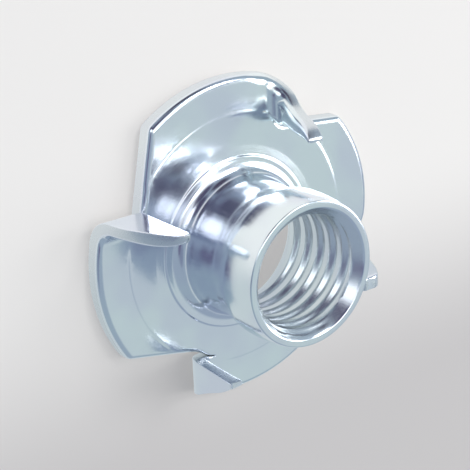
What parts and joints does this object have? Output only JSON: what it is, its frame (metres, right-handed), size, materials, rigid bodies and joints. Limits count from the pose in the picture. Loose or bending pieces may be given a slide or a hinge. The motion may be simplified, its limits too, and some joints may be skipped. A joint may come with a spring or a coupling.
{
  "type": "tee nut",
  "caption": "Pronged tee nut: a round steel flange with folded-up prongs and a drawn, threaded barrel that gives a wooden part a metal thread.",
  "frame": {"origin": "on the bore's axis, in the flange's back face", "axes": "+Z along the barrel, from the flange's back face to the mouth; +X runs out beside the inner face of one prong"},
  "size_m": [0.022, 0.022, 0.009],
  "materials": {
    "zinc_plate": "bright blue-white zinc plating"
  },
  "bodies": {
    "root": {"tee_nut": "zinc_plate"}
  },
  "joints": []
}
